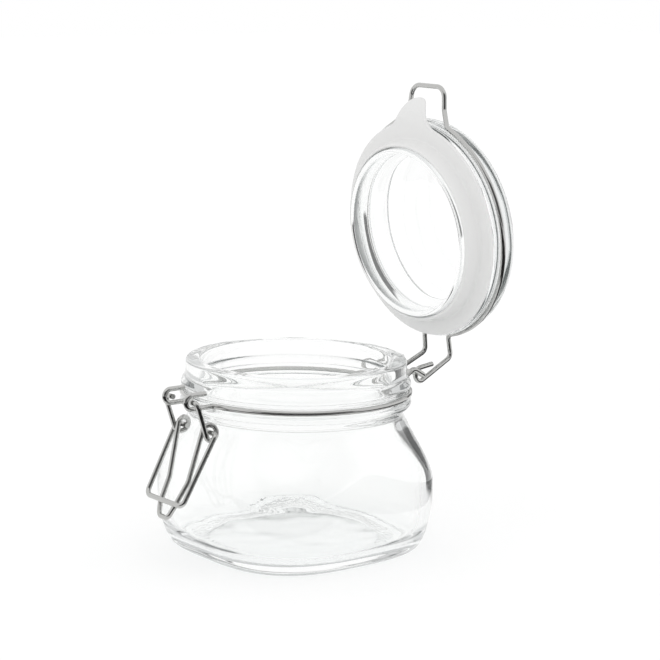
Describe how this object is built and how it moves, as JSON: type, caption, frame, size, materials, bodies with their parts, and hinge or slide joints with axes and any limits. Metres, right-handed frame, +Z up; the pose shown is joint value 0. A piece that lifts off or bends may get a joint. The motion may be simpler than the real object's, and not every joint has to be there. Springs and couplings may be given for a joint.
{
  "type": "clip-top storage jar",
  "caption": "Square clear glass clip-top jar with a round neck, domed glass lid standing open, pale rubber seal and steel wire hinge and clip.",
  "frame": {"origin": "centre of the ring the jar stands on, at table level", "axes": "+Z up out of the jar, -Y towards the clip at the front, +Y towards the hinge, +X to the side"},
  "size_m": [0.1028, 0.1545, 0.191],
  "materials": {
    "clear_glass": "gloss",
    "pale_rubber": "matte",
    "steel_wire": "gloss"
  },
  "bodies": {
    "jar": {"glass_jar": "clear_glass", "neck_wire": "steel_wire"},
    "lid": {"lid_glass": "clear_glass", "gasket": "pale_rubber", "lid_wire": "steel_wire"},
    "lever": {"lever_wire": "steel_wire"},
    "bail": {"bail_wire": "steel_wire"}
  },
  "joints": [
    {"name": "lid_hinge", "type": "hinge", "parent": "jar", "child": "lid", "pos_m": [0, 0.0599, 0.0674], "axis": [1, 0, 0], "range_deg": [0, 82.9]},
    {"name": "lever_pivot", "type": "hinge", "parent": "jar", "child": "lever", "pos_m": [0, -0.0578, 0.069], "axis": [-1, 0, 0], "range_deg": [-3, 70]},
    {"name": "bail_pivot", "type": "hinge", "parent": "lever", "child": "bail", "pos_m": [0, -0.0504, 0.0561], "axis": [-1, 0, 0], "range_deg": [0, 85]}
  ]
}
